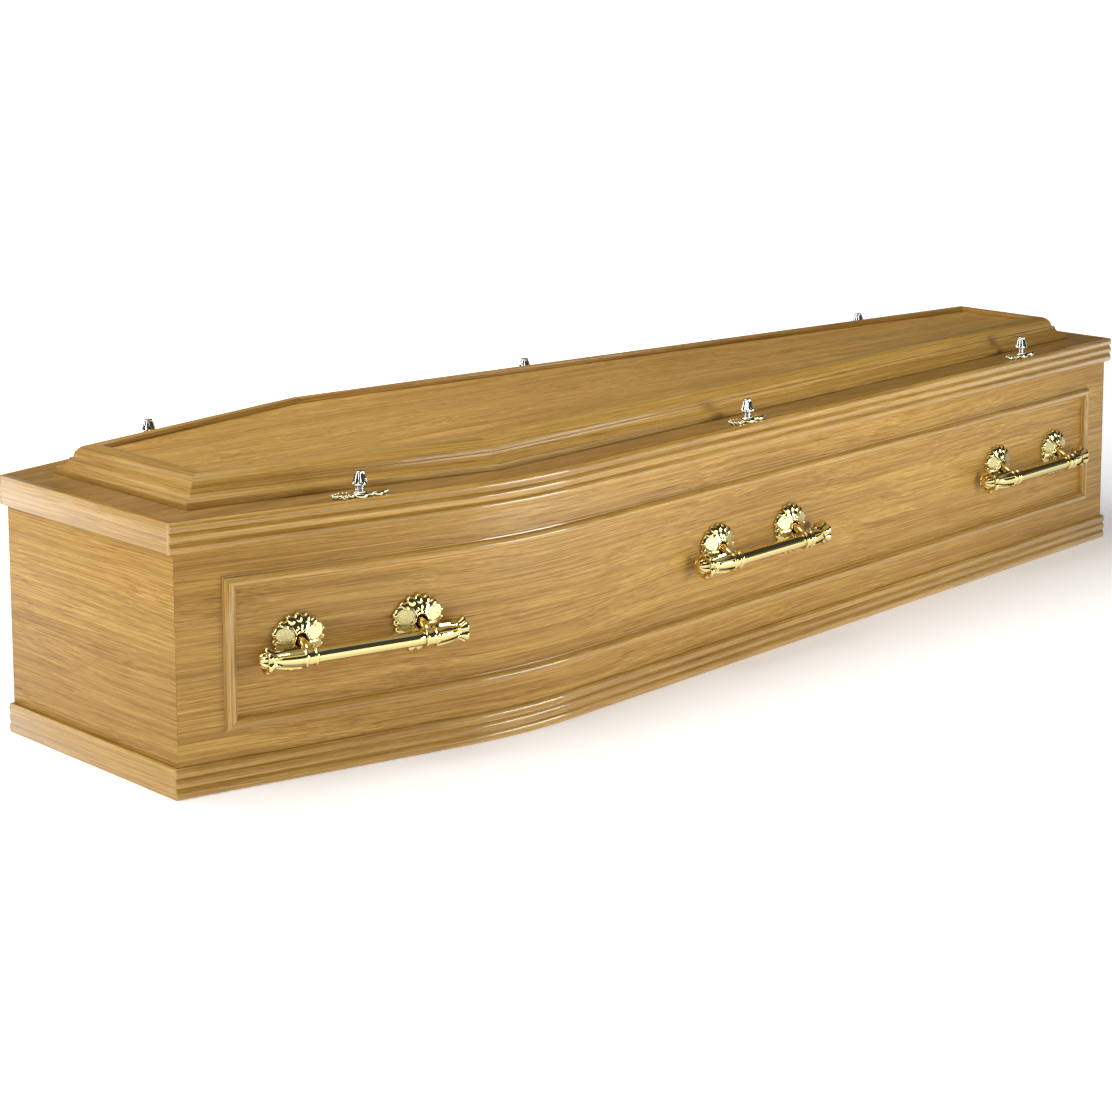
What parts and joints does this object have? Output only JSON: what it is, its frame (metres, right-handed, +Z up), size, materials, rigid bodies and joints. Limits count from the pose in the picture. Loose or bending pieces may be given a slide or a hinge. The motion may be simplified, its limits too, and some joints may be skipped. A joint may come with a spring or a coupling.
{
  "type": "coffin",
  "caption": "Tapered wooden coffin with bent shoulders, a lift-off lid with a raised moulded panel, reeded edge mouldings, metal bar handles and lid thumbscrews.",
  "frame": {"origin": "on the floor under the middle of the coffin", "axes": "+X from the head end to the foot end, +Y to the coffin's left side, +Z up"},
  "size_m": [1.906, 0.5916, 0.3761],
  "materials": {
    "oak": "satin",
    "pale_oak": "satin",
    "oak_moulding": "satin",
    "inside_oak": "matt",
    "brass": "polished",
    "chrome": "polished"
  },
  "bodies": {
    "root": {"base_moulding_left": "oak_moulding", "base_moulding_right": "oak_moulding", "base_strip_foot": "oak_moulding", "base_strip_head": "oak_moulding", "end_panel_foot": "oak", "end_panel_head": "oak", "floor_board": "inside_oak", "handle_left_1_bar": "brass", "handle_left_1_plate_footward": "brass", "handle_left_1_plate_headward": "brass", "handle_left_2_bar": "brass", "handle_left_2_plate_footward": "brass", "handle_left_2_plate_headward": "brass", "handle_left_3_bar": "brass", "handle_left_3_plate_footward": "brass", "handle_left_3_plate_headward": "brass", "handle_right_1_bar": "brass", "handle_right_1_plate_footward": "brass", "handle_right_1_plate_headward": "brass", "handle_right_2_bar": "brass", "handle_right_2_plate_footward": "brass", "handle_right_2_plate_headward": "brass", "handle_right_3_bar": "brass", "handle_right_3_plate_footward": "brass", "handle_right_3_plate_headward": "brass", "lid_board": "oak", "lid_edge_moulding_left": "oak_moulding", "lid_edge_moulding_right": "oak_moulding", "lid_strip_foot": "oak_moulding", "lid_strip_head": "oak_moulding", "panel_bead_bottom_left": "oak_moulding", "panel_bead_bottom_right": "oak_moulding", "panel_bead_foot_left": "oak_moulding", "panel_bead_foot_right": "oak_moulding", "panel_bead_head_left": "oak_moulding", "panel_bead_head_right": "oak_moulding", "panel_bead_top_left": "oak_moulding", "panel_bead_top_right": "oak_moulding", "raised_frame_foot": "oak_moulding", "raised_frame_head": "oak_moulding", "raised_frame_left_foot": "oak_moulding", "raised_frame_left_head": "oak_moulding", "raised_frame_right_foot": "oak_moulding", "raised_frame_right_head": "oak_moulding", "raised_panel": "pale_oak", "screw_plate_left_1": "brass", "screw_plate_left_2": "brass", "screw_plate_left_3": "brass", "screw_plate_right_1": "brass", "screw_plate_right_2": "brass", "screw_plate_right_3": "brass", "side_panel_left": "oak", "side_panel_right": "oak", "thumbscrew_left_1": "chrome", "thumbscrew_left_2": "chrome", "thumbscrew_left_3": "chrome", "thumbscrew_right_1": "chrome", "thumbscrew_right_2": "chrome", "thumbscrew_right_3": "chrome"}
  },
  "joints": []
}
